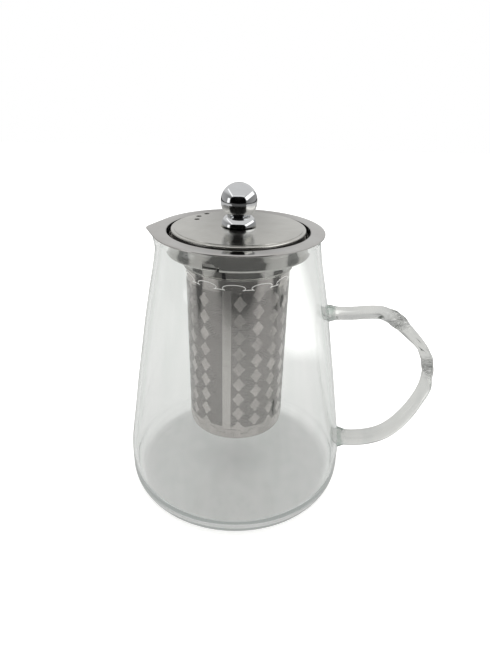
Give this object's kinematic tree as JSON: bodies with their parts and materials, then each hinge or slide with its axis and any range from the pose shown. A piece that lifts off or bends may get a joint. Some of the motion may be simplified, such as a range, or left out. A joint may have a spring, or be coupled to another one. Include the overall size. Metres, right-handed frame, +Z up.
{
  "type": "glass teapot",
  "caption": "Clear glass teapot with a side handle, a lift-out steel infuser basket hung from a flanged collar, and a loose domed lid with a ball knob.",
  "frame": {"origin": "centre of the resting base, on the pot's axis", "axes": "+Z up along the pot's axis, +X towards the handle, -X towards the pouring lip"},
  "size_m": [0.1671, 0.1184, 0.1638],
  "materials": {
    "clear_glass": "clear blown borosilicate",
    "handle_glass": "clear solid rod",
    "polished_steel": "mirror polished stainless",
    "lid_steel": "polished stainless",
    "etched_steel": "finely perforated and polished",
    "basket_steel": "satin",
    "knob_chrome": "mirror",
    "fixing_steel": "plain"
  },
  "bodies": {
    "pot": {"glass_pot": "clear_glass", "glass_handle": "handle_glass"},
    "infuser": {"collar_ring": "polished_steel"},
    "basket": {"basket_sleeve": "etched_steel", "basket_band": "basket_steel", "basket_floor": "basket_steel", "locking_stud_front": "fixing_steel", "locking_stud_back": "fixing_steel"},
    "lid": {"lid_dome": "lid_steel", "lid_skirt": "lid_steel", "knob_ball": "knob_chrome", "knob_foot": "knob_chrome", "knob_screw": "fixing_steel", "knob_washer": "fixing_steel", "knob_lock_washer": "fixing_steel"}
  },
  "joints": [
    {"name": "infuser_lift", "type": "slide", "parent": "pot", "child": "infuser", "axis": [0, 0, 1], "range_m": [0, 0.115]},
    {"name": "lid_lift", "type": "slide", "parent": "infuser", "child": "lid", "axis": [0, 0, 1], "range_m": [0, 0.05]},
    {"name": "basket_twist", "type": "hinge", "parent": "infuser", "child": "basket", "pos_m": [0, 0, 0.13], "axis": [0, 0, 1], "range_deg": [0, 14]}
  ]
}
